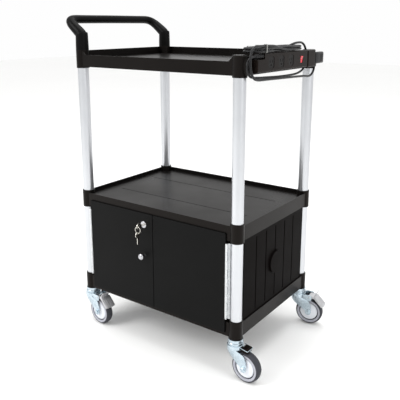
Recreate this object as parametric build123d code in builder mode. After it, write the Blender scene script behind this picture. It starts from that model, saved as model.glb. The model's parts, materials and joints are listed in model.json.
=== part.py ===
"""Two-tray aluminium utility cart with a locking cabinet, a push handle and a power strip.

Frame: +X towards the power strip end, -X towards the push handle, -Y towards the doors, +Z up.
The origin is on the floor, under the middle of the cart's outline. All lengths are millimetres.
"""
from build123d import *
import math
import os

# Overall layout
post_pitch_x = 635.0        # between post axes, handle end to strip end
post_pitch_y = 445.0        # between post axes, doors to back
cabinet_gap = 258.0         # bottom collars to middle collars
open_gap = 435.0            # middle collars to top tray collars

# Tubes and corner collars
post_od = 38.0
post_wall = 1.5
collar_wall = 3.0
collar_od = post_od + 2 * collar_wall
collar_height = 61.0
socket_depth = 27.0
socket_clearance = 0.1

# Shelf mouldings
skirt_reach = 16.0          # skirt outer face beyond the post axes
skirt_wall = 3.5
skirt_lift = 5.0            # skirt lower edge above the collar's lower edge
deck_wall = 3.5
shelf_deck = 41.0           # deck top above the collar's lower edge
shelf_rim = 53.0
tray_deck = 32.0
tray_rim = 58.0
tray_front_lip = 45.0
ramp_start = collar_od / 2 + 7.0    # foot of the front lip's ramp, in from the post axis
ramp_run = 14.0
rib_wall = 2.5
rib_depth = 12.0
rib_pitch = 90.0
groove_width = 3.0
groove_depth = 1.0
groove_offset = 95.0        # deck grooves each side of the middle

# Push handle
handle_outreach = 70.0      # grip axis beyond the left posts
handle_rise = 163.0         # grip axis above the tray collar's lower edge
sleeve_wall = 1.5
sleeve_od = post_od + 2 * sleeve_wall
sleeve_top = 120.0
arm_start = 112.0
grip_od = 29.0
grip_corner = 48.0
arm_bend = 20.0
spigot_length = 25.0

# Cabinet
panel_wall = 8.0
panel_inset = 3.8           # panel outer face inside the skirt's outer face
collar_gap = 0.3            # panels and stiles to the corner collars
panel_groove_width = 5.0
panel_groove_depth = 2.0
panel_groove_pitch = 63.0
boss_radius = 40.0
boss_height = 6.0
boss_rise = 123.0           # boss centre above the bottom collars
door_wall = 5.0
door_gap = 0.3              # door back to skirt face
door_edge = collar_od / 2 + 6.8     # door edge in from the post axis
seam_gap = 2.0
door_overlap_low = 45.0     # door lower edge below the bottom collar's top
door_overlap_high = 28.0    # door upper edge above the middle collar's bottom
stile_width = 10.0
stile_depth = 9.0

# Piano hinges
hinge_inset = collar_od / 2 + 2.0   # hinge axis in from the post axis
hinge_front = 21.0          # hinge axis in front of the post axis
knuckle_radius = 2.9
hinge_pin_radius = 1.2
hinge_play = 0.05
leaf_wall = 1.2
knuckle_count = 9
knuckle_gap = 0.4
hinge_margin = 4.0

# Lock, key and knob
lock_x = -38.0              # lock and knob axis from the middle of the doors
lock_drop = 11.0            # lock axis below the middle collar's bottom
lock_radius = 9.0
lock_face_radius = 11.5
core_radius = 6.0
knob_drop = 121.0
knob_radius = 11.0
knob_length = 24.0
knob_bore_depth = 9.2
ring_radius = 11.0
ring_wire = 1.0
key_wall = 2.0
key_bow_radius = 11.0
key_hole_radius = 3.0
key_hole_offset = 6.5       # key hole from the middle of the bow
blade_middle = 20.0         # middle of the blade from the middle of the bow
blade_length = 24.0
blade_width = 7.0

# Casters
stem_radius = 14.0
wheel_radius = 50.0
tread_width = 28.0
tread_rounding = 5.0
tyre_depth = 12.0
core_rim_radius = wheel_radius - tyre_depth
hub_radius = 12.0
hub_width = 35.0
axle_radius = 5.0
axle_play = 0.05
caster_trail = 44.0
fork_wall = 3.0
fork_gap = 0.7              # hub face to fork leg
crown_z = 2 * wheel_radius + 3.5    # underside of the fork's crown
caster_height = crown_z + 31.5      # floor to the underside of the bottom collars
kingpin_radius = 6.0
race_radius = 24.0
head_radius = 27.0
pedal_width = 46.0
pedal_pivot_x = 46.0
pedal_pivot_z = crown_z + 6.0
pedal_knee_x = 66.0         # where the pedal turns down
pedal_tip_x = 101.0
pedal_drop = 30.5           # pedal tip below the pivot
pedal_wall = 2.8
pedal_boss = 5.2            # radius of the sleeve round the pedal pin
pedal_pin_radius = 3.0
pedal_travel = 8.0

# Power strip
strip_start = 22.0          # from the front post axes
strip_length = 323.0
strip_inner = 26.0          # beyond the right post axes
strip_depth = 18.0
strip_low = 11.0            # above the tray collar's lower edge
strip_high = 66.0
strip_wall = 2.5
outlet_first = 103.0
outlet_pitch = 62.0
outlet_size = 34.0
rocker_y = 300.0
rocker_z = 38.0
rocker_width = 14.0
rocker_height = 22.0
rocker_tilt = 8.0
holder_length = 58.0
plug_length = 62.0
plug_height = 38.0
plug_depth = 19.0
cord_diameter = 7.0

# Derived places
handle_reach = handle_outreach + grip_od / 2
pedal_reach = pedal_tip_x + 3.0     # the back right pedal, turned with its caster
lock_proud = 2.0            # lock face in front of the door
key_out = 22.0              # middle of the key's bow in front of the lock face
door_reach = skirt_reach + door_gap + door_wall
key_reach = door_reach + lock_proud + key_out + key_hole_offset + key_bow_radius
caster_reach = 38.4         # back casters behind the back post axes
grid_shift = (handle_reach - pedal_reach) / 2
grid_mid_y = (key_reach - caster_reach) / 2
left_x = grid_shift - post_pitch_x / 2
right_x = grid_shift + post_pitch_x / 2
front_y = grid_mid_y - post_pitch_y / 2
back_y = grid_mid_y + post_pitch_y / 2
corners = {
    "front_left": (left_x, front_y),
    "front_right": (right_x, front_y),
    "back_right": (right_x, back_y),
    "back_left": (left_x, back_y),
}
bottom_z = caster_height
middle_z = bottom_z + collar_height + cabinet_gap
top_z = middle_z + collar_height + open_gap
post_radius = post_od / 2
collar_radius = collar_od / 2
inner_x = post_pitch_x + 2 * (skirt_reach - skirt_wall)
inner_y = post_pitch_y + 2 * (skirt_reach - skirt_wall)
outer_x = post_pitch_x + 2 * skirt_reach
outer_y = post_pitch_y + 2 * skirt_reach

os.makedirs("parts", exist_ok=True)


def write(part, label):
    part.label = label
    export_step(part, "parts/" + label + ".step")


def span(a, b):
    return (min(a, b), max(a, b))


def box_between(low, high):
    """A box from its lowest and highest corners, for use inside a part block."""
    size = [b - a for a, b in zip(low, high)]
    middle = [(a + b) / 2 for a, b in zip(low, high)]
    with Locations(tuple(middle)):
        Box(*size)


def cut_box(low, high):
    size = [b - a for a, b in zip(low, high)]
    middle = [(a + b) / 2 for a, b in zip(low, high)]
    with Locations(tuple(middle)):
        Box(*size, mode=Mode.SUBTRACT)


# Shelves
def make_shelf(base_z, deck, rim, front_lip, label):
    socket = post_radius + socket_clearance
    with BuildPart() as shelf:
        with BuildSketch(Plane.XY.offset(base_z + skirt_lift)):
            with Locations((grid_shift, grid_mid_y)):
                RectangleRounded(outer_x, outer_y, skirt_reach)
        extrude(amount=rim - skirt_lift)
        with BuildSketch(Plane.XY.offset(base_z + deck)):
            with Locations((grid_shift, grid_mid_y)):
                RectangleRounded(inner_x, inner_y, skirt_reach - skirt_wall)
        extrude(amount=collar_height, mode=Mode.SUBTRACT)
        with BuildSketch(Plane.XY.offset(base_z)):
            with Locations((grid_shift, grid_mid_y)):
                RectangleRounded(inner_x, inner_y, skirt_reach - skirt_wall)
        extrude(amount=deck - deck_wall, mode=Mode.SUBTRACT)
        with BuildSketch(Plane.XY.offset(base_z + deck - deck_wall - rib_depth)):
            with Locations((grid_shift, grid_mid_y)):
                with GridLocations(rib_pitch, 1, 1 + int(post_pitch_x / rib_pitch), 1):
                    Rectangle(rib_wall, inner_y)
                with GridLocations(1, rib_pitch, 1, int(post_pitch_y / rib_pitch)):
                    Rectangle(inner_x, rib_wall)
        extrude(amount=rib_depth)
        with BuildSketch(Plane.XY.offset(base_z + deck - groove_depth)):
            with Locations((grid_shift, grid_mid_y)):
                with GridLocations(1, 2 * groove_offset, 1, 2):
                    Rectangle(post_pitch_x - 2 * collar_od, groove_width)
        extrude(amount=groove_depth, mode=Mode.SUBTRACT)
        if front_lip < rim:
            foot = post_pitch_x / 2 - ramp_start
            top = foot + ramp_run
            above = collar_height - rim + 1
            with BuildSketch(Plane.XZ.offset(-front_y)):
                with BuildLine():
                    Polyline(
                        (grid_shift - top, base_z + rim),
                        (grid_shift - foot, base_z + front_lip),
                        (grid_shift + foot, base_z + front_lip),
                        (grid_shift + top, base_z + rim),
                        (grid_shift + top, base_z + rim + above),
                        (grid_shift - top, base_z + rim + above),
                        close=True,
                    )
                make_face()
            extrude(amount=2 * skirt_reach, mode=Mode.SUBTRACT)
        with BuildSketch(Plane.XY.offset(base_z)):
            with Locations(*corners.values()):
                Circle(collar_radius)
        extrude(amount=collar_height)
        collar_edges = shelf.edges().filter_by(GeomType.CIRCLE)
        collar_edges = [e for e in collar_edges if abs(e.radius - collar_radius) < 0.01]
        fillet([e for e in collar_edges if e.arc_center.Z > base_z + collar_height - 0.1], 1.5)
        with BuildSketch(Plane.XY.offset(base_z + collar_height - socket_depth)):
            with Locations(*corners.values()):
                Circle(socket)
        extrude(amount=socket_depth + 1, mode=Mode.SUBTRACT)
        with BuildSketch(Plane.XY.offset(base_z - 1)):
            with Locations(*corners.values()):
                Circle(socket if base_z > bottom_z else stem_radius + socket_clearance)
        extrude(amount=socket_depth + 1, mode=Mode.SUBTRACT)
    write(shelf.part, label)


make_shelf(bottom_z, shelf_deck, shelf_rim, shelf_rim, "bottom_shelf")
make_shelf(middle_z, shelf_deck, shelf_rim, shelf_rim, "middle_shelf")
make_shelf(top_z, tray_deck, tray_rim, tray_front_lip, "top_tray")


# Posts
def make_posts(base_z, gap, label):
    with BuildPart() as posts:
        with BuildSketch(Plane.XY.offset(base_z + collar_height - socket_depth)):
            with Locations(*corners.values()):
                Circle(post_radius)
                Circle(post_radius - post_wall, mode=Mode.SUBTRACT)
        extrude(amount=gap + 2 * socket_depth)
    write(posts.part, label)


make_posts(bottom_z, cabinet_gap, "lower_posts")
make_posts(middle_z, open_gap, "upper_posts")

# Push handle
collar_top = top_z + collar_height
with BuildPart() as push_handle:
    with BuildSketch(Plane.XY.offset(collar_top)):
        with Locations((left_x, front_y), (left_x, back_y)):
            Circle(sleeve_od / 2)
    extrude(amount=sleeve_top - collar_height)
    fillet(push_handle.edges().group_by(Axis.Z)[-1], 4)
    with BuildLine(Plane.XY) as grip_path:
        FilletPolyline(
            (left_x, front_y, collar_top + 20),
            (left_x, front_y, top_z + arm_start),
            (left_x - handle_outreach, front_y, top_z + handle_rise),
            (left_x - handle_outreach, back_y, top_z + handle_rise),
            (left_x, back_y, top_z + arm_start),
            (left_x, back_y, collar_top + 20),
            radius=[arm_bend, grip_corner, grip_corner, arm_bend],
        )
    with BuildSketch(Plane.XY.offset(collar_top + 20)):
        with Locations((left_x, front_y)):
            Circle(grip_od / 2)
    sweep(path=grip_path.line)
    with BuildSketch(Plane.XY.offset(collar_top - spigot_length)):
        with Locations((left_x, front_y), (left_x, back_y)):
            Circle(post_radius)
    extrude(amount=spigot_length)
write(push_handle.part, "push_handle")

with BuildPart() as corner_caps:
    with BuildSketch(Plane.XY.offset(collar_top)):
        with Locations((right_x, front_y), (right_x, back_y)):
            Circle(collar_radius - 1.5)
    extrude(amount=2)
    fillet(corner_caps.edges().group_by(Axis.Z)[-1], 1)
    with BuildSketch(Plane.XY.offset(collar_top - 15)):
        with Locations((right_x, front_y), (right_x, back_y)):
            Circle(post_radius)
            Circle(post_radius - 3, mode=Mode.SUBTRACT)
    extrude(amount=15)
write(corner_caps.part, "corner_caps")

# Cabinet panels
panel_low = bottom_z + shelf_deck
panel_high = middle_z + shelf_deck - deck_wall - rib_depth
groove_low = bottom_z + collar_height + 2
groove_high = middle_z - 8
panel_outer = skirt_reach - panel_inset
boss_z = bottom_z + collar_height + boss_rise


def make_end_panel(post_x, side, label):
    """side is +1 where the outer face looks along +X."""
    outer = post_x + side * panel_outer
    inner = outer - side * panel_wall
    reach = post_pitch_y / 2 - collar_radius - collar_gap
    with BuildPart() as panel:
        faces = span(inner, outer)
        box_between((faces[0], grid_mid_y - reach, panel_low), (faces[1], grid_mid_y + reach, panel_high))
        plane = Plane(origin=(outer, grid_mid_y, 0), x_dir=(0, 1, 0), z_dir=(side, 0, 0))
        with BuildSketch(plane):
            for step in (-2, -1, 0, 1, 2):
                with Locations((step * panel_groove_pitch, side * (groove_low + groove_high) / 2)):
                    Rectangle(panel_groove_width, groove_high - groove_low)
        extrude(amount=-panel_groove_depth, mode=Mode.SUBTRACT)
        with BuildSketch(plane.offset(-panel_groove_depth)):
            with Locations((0, side * boss_z)):
                Circle(boss_radius)
        extrude(amount=boss_height + panel_groove_depth, taper=12)
    write(panel.part, label)


make_end_panel(right_x, 1, "right_end_panel")
make_end_panel(left_x, -1, "left_end_panel")

with BuildPart() as back_panel:
    reach = post_pitch_x / 2 - collar_radius - collar_gap
    outer = back_y + panel_outer
    box_between(
        (grid_shift - reach, outer - panel_wall, panel_low),
        (grid_shift + reach, outer, panel_high),
    )
    with BuildSketch(Plane(origin=(grid_shift, outer, 0), x_dir=(-1, 0, 0), z_dir=(0, 1, 0))):
        with Locations((0, (groove_low + groove_high) / 2)):
            with GridLocations(2 * panel_groove_pitch, 1, 5, 1):
                Rectangle(panel_groove_width, groove_high - groove_low)
    extrude(amount=-panel_groove_depth, mode=Mode.SUBTRACT)
write(back_panel.part, "back_panel")

leaf_front = front_y - skirt_reach + skirt_wall + 0.1 - leaf_wall
stile_front = leaf_front + leaf_wall
hinge_low = bottom_z + collar_height + hinge_margin
hinge_high = middle_z - hinge_margin
hinge_y = front_y - hinge_front
screw_inset = collar_radius + 6.0
leaf_reach = front_y - leaf_front
leaf_near = math.sqrt(post_radius ** 2 - (leaf_reach - leaf_wall) ** 2) + 0.6
screw_z = [hinge_low + (hinge_high - hinge_low) * share for share in (0.06, 0.35, 0.65, 0.94)]
screw_places = [(x, z) for x in (left_x + screw_inset, right_x - screw_inset) for z in screw_z]
with BuildPart() as hinge_screws:
    with BuildSketch(Plane.XZ.offset(-leaf_front)):
        with Locations(*screw_places):
            Circle(3.0)
    extrude(amount=0.9)
    with BuildSketch(Plane.XZ.offset(-leaf_front)):
        with Locations(*screw_places):
            Circle(1.5)
    extrude(amount=-leaf_wall - 6)
write(hinge_screws.part, "hinge_screws")

with BuildPart() as door_stiles:
    for post_x, side in ((left_x, 1), (right_x, -1)):
        near = collar_radius + collar_gap
        ends = span(post_x + side * near, post_x + side * (near + stile_width))
        box_between(
            (ends[0], stile_front, panel_low),
            (ends[1], stile_front + stile_depth, panel_high),
        )
    with BuildSketch(Plane.XZ.offset(-stile_front)):
        with Locations(*screw_places):
            Circle(1.55)
    extrude(amount=-6.1, mode=Mode.SUBTRACT)
write(door_stiles.part, "door_stiles")

# Doors
door_back = front_y - skirt_reach - door_gap
door_front = door_back - door_wall
door_low = bottom_z + collar_height - door_overlap_low
door_high = middle_z + door_overlap_high
lock_z = middle_z - lock_drop
knob_z = middle_z - knob_drop
lock_axis_x = grid_shift + lock_x
lock_hole = lock_radius + 0.1
screw_radius = 2.0

with BuildPart() as left_door:
    box_between(
        (left_x + door_edge, door_front, door_low),
        (grid_shift - seam_gap / 2, door_back, door_high),
    )
    fillet(left_door.edges().filter_by(Axis.Y), 2)
    fillet(left_door.faces().sort_by(Axis.Y)[0].edges(), 1)
    with Locations(Plane(origin=(lock_axis_x, door_front, lock_z), z_dir=(0, -1, 0))):
        Hole(lock_hole)
    with Locations(Plane(origin=(lock_axis_x, door_front, knob_z), z_dir=(0, -1, 0))):
        Hole(screw_radius + 0.1)
write(left_door.part, "left_door")

with BuildPart() as right_door:
    box_between(
        (grid_shift + seam_gap / 2, door_front, door_low),
        (right_x - door_edge, door_back, door_high),
    )
    fillet(right_door.edges().filter_by(Axis.Y), 2)
    fillet(right_door.faces().sort_by(Axis.Y)[0].edges(), 1)
write(right_door.part, "right_door")


# Piano hinges
def knuckle_spans(first):
    pitch = (hinge_high - hinge_low) / knuckle_count
    for index in range(first, knuckle_count, 2):
        low = hinge_low + index * pitch + knuckle_gap / 2
        yield low, low + pitch - knuckle_gap


def hinge_barrels(axis_x, first, bore):
    for low, high in knuckle_spans(first):
        with BuildSketch(Plane.XY.offset(low)) as ring:
            with Locations((axis_x, hinge_y)):
                Circle(knuckle_radius)
                Circle(bore, mode=Mode.SUBTRACT)
        extrude(ring.sketch, amount=high - low)


with BuildPart() as hinge_frame_leaves:
    for post_x, side in ((left_x, 1), (right_x, -1)):
        axis_x = post_x + side * hinge_inset
        hinge_barrels(axis_x, 0, hinge_pin_radius)
        web = span(axis_x - side * knuckle_radius, axis_x - side * (knuckle_radius - leaf_wall))
        plate = span(post_x + side * leaf_near, post_x + side * (hinge_inset + 7.5))
        clear_y = hinge_y + knuckle_radius + 0.3
        box_between(
            (web[0], clear_y, hinge_low),
            (web[1], leaf_front + leaf_wall, hinge_high),
        )
        box_between(
            (plate[0], leaf_front, hinge_low),
            (plate[1], leaf_front + leaf_wall, hinge_high),
        )
        for low, high in knuckle_spans(0):
            box_between((web[0], hinge_y, low), (web[1], clear_y, high))
    with BuildSketch(Plane.XZ.offset(-leaf_front)):
        with Locations(*screw_places):
            Circle(1.55)
    extrude(amount=-leaf_wall, mode=Mode.SUBTRACT)
write(hinge_frame_leaves.part, "hinge_frame_leaves")


def make_door_leaf(post_x, side, label):
    axis_x = post_x + side * hinge_inset
    edge = span(axis_x + side * (knuckle_radius + 0.4), post_x + side * (door_edge - 0.05))
    flat = span(axis_x + side * (knuckle_radius + 0.4), post_x + side * (door_edge + 22))
    with BuildPart() as leaf:
        hinge_barrels(axis_x, 1, hinge_pin_radius + hinge_play)
        box_between((edge[0], door_front, hinge_low), (edge[1], door_back + leaf_wall, hinge_high))
        box_between((flat[0], door_back, hinge_low), (flat[1], door_back + leaf_wall, hinge_high))
        for low, high in knuckle_spans(1):
            tab = span(axis_x + side * (hinge_pin_radius + 0.6), edge[0] if side > 0 else edge[1])
            box_between((tab[0], hinge_y, low), (tab[1], hinge_y + leaf_wall, high))
    write(leaf.part, label)


make_door_leaf(left_x, 1, "left_hinge_leaf")
make_door_leaf(right_x, -1, "right_hinge_leaf")

with BuildPart() as hinge_pins:
    with BuildSketch(Plane.XY.offset(hinge_low - 1)):
        with Locations((left_x + hinge_inset, hinge_y), (right_x - hinge_inset, hinge_y)):
            Circle(hinge_pin_radius)
    extrude(amount=hinge_high - hinge_low + 2)
write(hinge_pins.part, "hinge_pins")

# Lock, keys and knob
nut_wall = 4.0
core_play = 0.05
lock_front = door_front - lock_proud
cam_y = door_back + nut_wall + 0.5


def front_plane(x, y, z):
    """A plane whose normal points out of the doors, with its own x along +X."""
    return Plane(origin=(x, y, z), x_dir=(1, 0, 0), z_dir=(0, -1, 0))


with BuildPart() as lock_housing:
    with BuildSketch(front_plane(lock_axis_x, door_front, lock_z)):
        Circle(lock_face_radius)
    extrude(amount=lock_proud)
    fillet(lock_housing.edges().group_by(Axis.Y)[0], 0.8)
    with BuildSketch(front_plane(lock_axis_x, door_front, lock_z)):
        Circle(lock_radius)
    extrude(amount=-(door_wall + nut_wall))
    with Locations(front_plane(lock_axis_x, lock_front, lock_z)):
        Hole(core_radius + core_play)
write(lock_housing.part, "lock_housing")

with BuildPart() as lock_nut:
    with BuildSketch(front_plane(lock_axis_x, door_back, lock_z)):
        RegularPolygon(12.5, 6)
        Circle(lock_hole, mode=Mode.SUBTRACT)
    extrude(amount=-nut_wall)
write(lock_nut.part, "lock_nut")

key_slot = 2.4
core_slot_depth = 11.0
cam_wall = 1.8
cam_step = 3.4              # the cam's end is bent towards the door by this much
cam_width = 13.0
cam_reach = 32.0
with BuildPart() as lock_core:
    with BuildSketch(front_plane(lock_axis_x, lock_front - 0.4, lock_z)):
        Circle(core_radius)
        Rectangle(key_slot, 8.0, mode=Mode.SUBTRACT)
    extrude(amount=-core_slot_depth)
    with BuildSketch(front_plane(lock_axis_x, lock_front - 0.4 + core_slot_depth, lock_z)):
        Circle(core_radius)
    extrude(amount=-(cam_y + cam_wall - lock_front + 0.4 - core_slot_depth))
write(lock_core.part, "lock_core")

with BuildPart() as lock_cam:
    with BuildSketch(front_plane(lock_axis_x, cam_y + cam_wall, lock_z)):
        Circle(8.5)
        with Locations((0, -cam_reach / 2)):
            Rectangle(cam_width, cam_reach)
        Circle(core_radius + 0.02, mode=Mode.SUBTRACT)
    extrude(amount=cam_wall)
    cam_tip = cam_y - cam_step
    box_between(
        (lock_axis_x - cam_width / 2, cam_tip, lock_z - cam_reach - cam_wall),
        (lock_axis_x + cam_width / 2, cam_y + cam_wall, lock_z - cam_reach),
    )
    box_between(
        (lock_axis_x - cam_width / 2, cam_tip, lock_z - cam_reach - 14),
        (lock_axis_x + cam_width / 2, cam_tip + cam_wall, lock_z - cam_reach),
    )
write(lock_cam.part, "lock_cam")

key_bow_y = lock_front - key_out
key_hole_y = key_bow_y - key_hole_offset


def key_outline(bow_y, bow_z, blade_dy, blade_dz):
    """A flat key in the plane across X: a round bow with a hole and a narrow blade."""
    face = Plane(origin=(lock_axis_x - key_wall / 2, 0, 0), x_dir=(0, 1, 0), z_dir=(1, 0, 0))
    along_y = abs(blade_dy)
    along_z = abs(blade_dz)
    with BuildSketch(face) as outline:
        with Locations((bow_y, bow_z)):
            Circle(key_bow_radius)
        with Locations((bow_y + blade_dy * blade_middle, bow_z + blade_dz * blade_middle)):
            Rectangle(
                along_y * blade_length + along_z * blade_width,
                along_z * blade_length + along_y * blade_width,
            )
        with Locations((bow_y - blade_dy * key_hole_offset, bow_z - blade_dz * key_hole_offset)):
            Circle(key_hole_radius, mode=Mode.SUBTRACT)
    extrude(outline.sketch, amount=key_wall)


with BuildPart() as lock_key:
    key_outline(key_bow_y, lock_z, 1, 0)
write(lock_key.part, "lock_key")

ring_z = lock_z - ring_radius
with BuildPart() as key_ring:
    with Locations(Plane(origin=(lock_axis_x, key_hole_y, ring_z), z_dir=(0, 1, 0))):
        Torus(ring_radius, ring_wire)
write(key_ring.part, "key_ring")

spare_hole_z = ring_z - ring_radius
with BuildPart() as spare_key:
    key_outline(key_hole_y, spare_hole_z - key_hole_offset, 0, -1)
write(spare_key.part, "spare_key")

with BuildPart() as door_knob:
    knob_plane = Plane(origin=(lock_axis_x, door_front, knob_z), x_dir=(1, 0, 0), z_dir=(0, 0, -1))
    with BuildSketch(knob_plane):
        with BuildLine():
            Polyline(
                (0, knob_bore_depth),
                (screw_radius, knob_bore_depth),
                (screw_radius, 0),
                (6.5, 0),
                (5.2, 4),
                (4.8, 10),
                (7.5, 13.0),
            )
            ThreePointArc((7.5, 13.0), (knob_radius, 17.5), (8.6, 22.0))
            Polyline(
                (8.6, 22.0),
                (7.0, knob_length - 0.6),
                (4.6, knob_length),
                (0, knob_length),
                (0, knob_bore_depth),
            )
        make_face()
    revolve(axis=Axis((lock_axis_x, door_front, knob_z), (0, 1, 0)))
write(door_knob.part, "door_knob")

with BuildPart() as knob_screw:
    with BuildSketch(front_plane(lock_axis_x, door_back, knob_z)):
        Circle(screw_radius)
    extrude(amount=door_wall + 9)
    with BuildSketch(front_plane(lock_axis_x, door_back, knob_z)):
        Circle(4.5)
    extrude(amount=-2.2)
write(knob_screw.part, "knob_screw")

catch_x = grid_shift + 60.0
catch_width = 46.0
catch_depth = 14.0
catch_front = front_y - skirt_reach + skirt_wall + 0.1
rim_top = bottom_z + shelf_rim
with BuildPart() as magnet_catch:
    box_between(
        (catch_x - catch_width / 2, catch_front, panel_low),
        (catch_x + catch_width / 2, catch_front + catch_depth, rim_top + 13),
    )
    box_between(
        (catch_x - 18, door_back + leaf_wall + 0.4, rim_top + 2),
        (catch_x + 18, catch_front, rim_top + 11),
    )
write(magnet_catch.part, "magnet_catch")

with BuildPart() as catch_strike:
    box_between(
        (catch_x - 16, door_back, rim_top + 1.5),
        (catch_x + 16, door_back + leaf_wall, rim_top + 12),
    )
write(catch_strike.part, "catch_strike")

# Casters
leg_inner = hub_width / 2 + fork_gap
leg_outer = leg_inner + fork_wall
head_top = bottom_z - 10.0
race_low = head_top + 0.4

with BuildPart() as caster_stems:
    with BuildSketch(Plane.XY.offset(bottom_z - 4)):
        with Locations(*corners.values()):
            Circle(collar_radius + 2)
    extrude(amount=4)
    with BuildSketch(Plane.XY.offset(race_low)):
        with Locations(*corners.values()):
            Circle(race_radius)
    extrude(amount=bottom_z - 4 - race_low)
    with BuildSketch(Plane.XY.offset(bottom_z)):
        with Locations(*corners.values()):
            Circle(stem_radius)
    extrude(amount=socket_depth - 2)
    with BuildSketch(Plane.XY.offset(crown_z - 3.5)):
        with Locations(*corners.values()):
            Circle(kingpin_radius)
    extrude(amount=race_low - crown_z + 3.5)
    with BuildSketch(Plane.XY.offset(crown_z - 5.5)):
        with Locations(*corners.values()):
            Circle(9)
    extrude(amount=5)
write(caster_stems.part, "caster_stems")


def leg_outline(braked):
    """Side outline of a fork leg: wide at the crown, narrowing to a round end at the axle."""
    rear = pedal_pivot_x + 10 if braked else 42.0
    shoulder = pedal_pivot_z + 6 if braked else crown_z + fork_wall
    outline = [
        (-18, crown_z + fork_wall),
        (-18, crown_z - 9),
        (caster_trail - 13, wheel_radius + 2),
        (caster_trail, wheel_radius - 12),
        (caster_trail + 13, wheel_radius + 2),
        (rear, crown_z - 12),
        (rear, shoulder),
    ]
    if braked:
        outline += [(rear - 16, shoulder), (rear - 22, crown_z + fork_wall)]
    return outline


def make_fork(post, yaw, braked):
    leg_mid = (leg_inner + leg_outer) / 2
    with BuildPart() as fork:
        for side in (-1, 1):
            with BuildSketch(Plane.XZ.offset(side * leg_mid)):
                with BuildLine():
                    Polyline(*leg_outline(braked), close=True)
                make_face()
            extrude(amount=fork_wall / 2, both=True)
        fillet(fork.edges().filter_by(Axis.Y).group_by(Axis.Z)[0], 11)
        box_between((-18, -leg_inner, crown_z), (26, leg_inner, crown_z + fork_wall))
        with BuildSketch(Plane.XY.offset(crown_z + 0.2)):
            Circle(head_radius)
        extrude(amount=head_top - crown_z - 0.2)
        fillet(fork.edges().group_by(Axis.Z)[-1], 2)
        with BuildSketch(Plane.XY.offset(crown_z - 0.3)):
            Circle(kingpin_radius + axle_play)
        extrude(amount=head_top - crown_z + 1, mode=Mode.SUBTRACT)
        with Locations(Plane(origin=(caster_trail, 0, wheel_radius), z_dir=(0, 1, 0))):
            Cylinder(axle_radius, 2 * leg_outer + 1, mode=Mode.SUBTRACT)
        if braked:
            with Locations(Plane(origin=(pedal_pivot_x, 0, pedal_pivot_z), z_dir=(0, 1, 0))):
                Cylinder(pedal_pin_radius + axle_play, 2 * leg_outer + 1, mode=Mode.SUBTRACT)
    return fork.part.moved(Location((post[0], post[1], 0), (0, 0, yaw)))


def make_axle(post, yaw):
    with BuildPart() as axle:
        with Locations(Plane(origin=(caster_trail, 0, wheel_radius), z_dir=(0, 1, 0))):
            Cylinder(axle_radius, 2 * leg_outer + 8)
        with BuildSketch(Plane.XZ.offset(leg_outer)):
            with Locations((caster_trail, wheel_radius)):
                RegularPolygon(9, 6)
        extrude(amount=5)
        with BuildSketch(Plane.XZ.offset(-leg_outer)):
            with Locations((caster_trail, wheel_radius)):
                RegularPolygon(9, 6)
        extrude(amount=-6)
    return axle.part.moved(Location((post[0], post[1], 0), (0, 0, yaw)))


def make_wheel_core(post, yaw):
    with BuildPart() as core:
        with BuildSketch(Plane.XY) as half:
            with BuildLine():
                Polyline(
                    (axle_radius + axle_play, -hub_width / 2),
                    (hub_radius, -hub_width / 2),
                    (hub_radius + 1, -9),
                    (core_rim_radius - 8, -6),
                    (core_rim_radius - 4, -12),
                    (core_rim_radius, -12),
                    (core_rim_radius, 12),
                    (core_rim_radius - 4, 12),
                    (core_rim_radius - 8, 6),
                    (hub_radius + 1, 9),
                    (hub_radius, hub_width / 2),
                    (axle_radius + axle_play, hub_width / 2),
                    close=True,
                )
            make_face()
        revolve(axis=Axis.Y)
    place = Location((post[0], post[1], 0), (0, 0, yaw)) * Location((caster_trail, 0, wheel_radius))
    return core.part.moved(place)


def make_tyre(post, yaw):
    half_width = tread_width / 2
    with BuildPart() as tyre:
        with BuildSketch(Plane.XY):
            with BuildLine():
                shoulder = wheel_radius - tread_rounding
                Polyline(
                    (shoulder, -half_width),
                    (core_rim_radius, -half_width),
                    (core_rim_radius, half_width),
                    (shoulder, half_width),
                )
                ThreePointArc((shoulder, half_width), (wheel_radius, 0), (shoulder, -half_width))
            make_face()
        revolve(axis=Axis.Y)
    place = Location((post[0], post[1], 0), (0, 0, yaw)) * Location((caster_trail, 0, wheel_radius))
    return tyre.part.moved(place)


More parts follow.
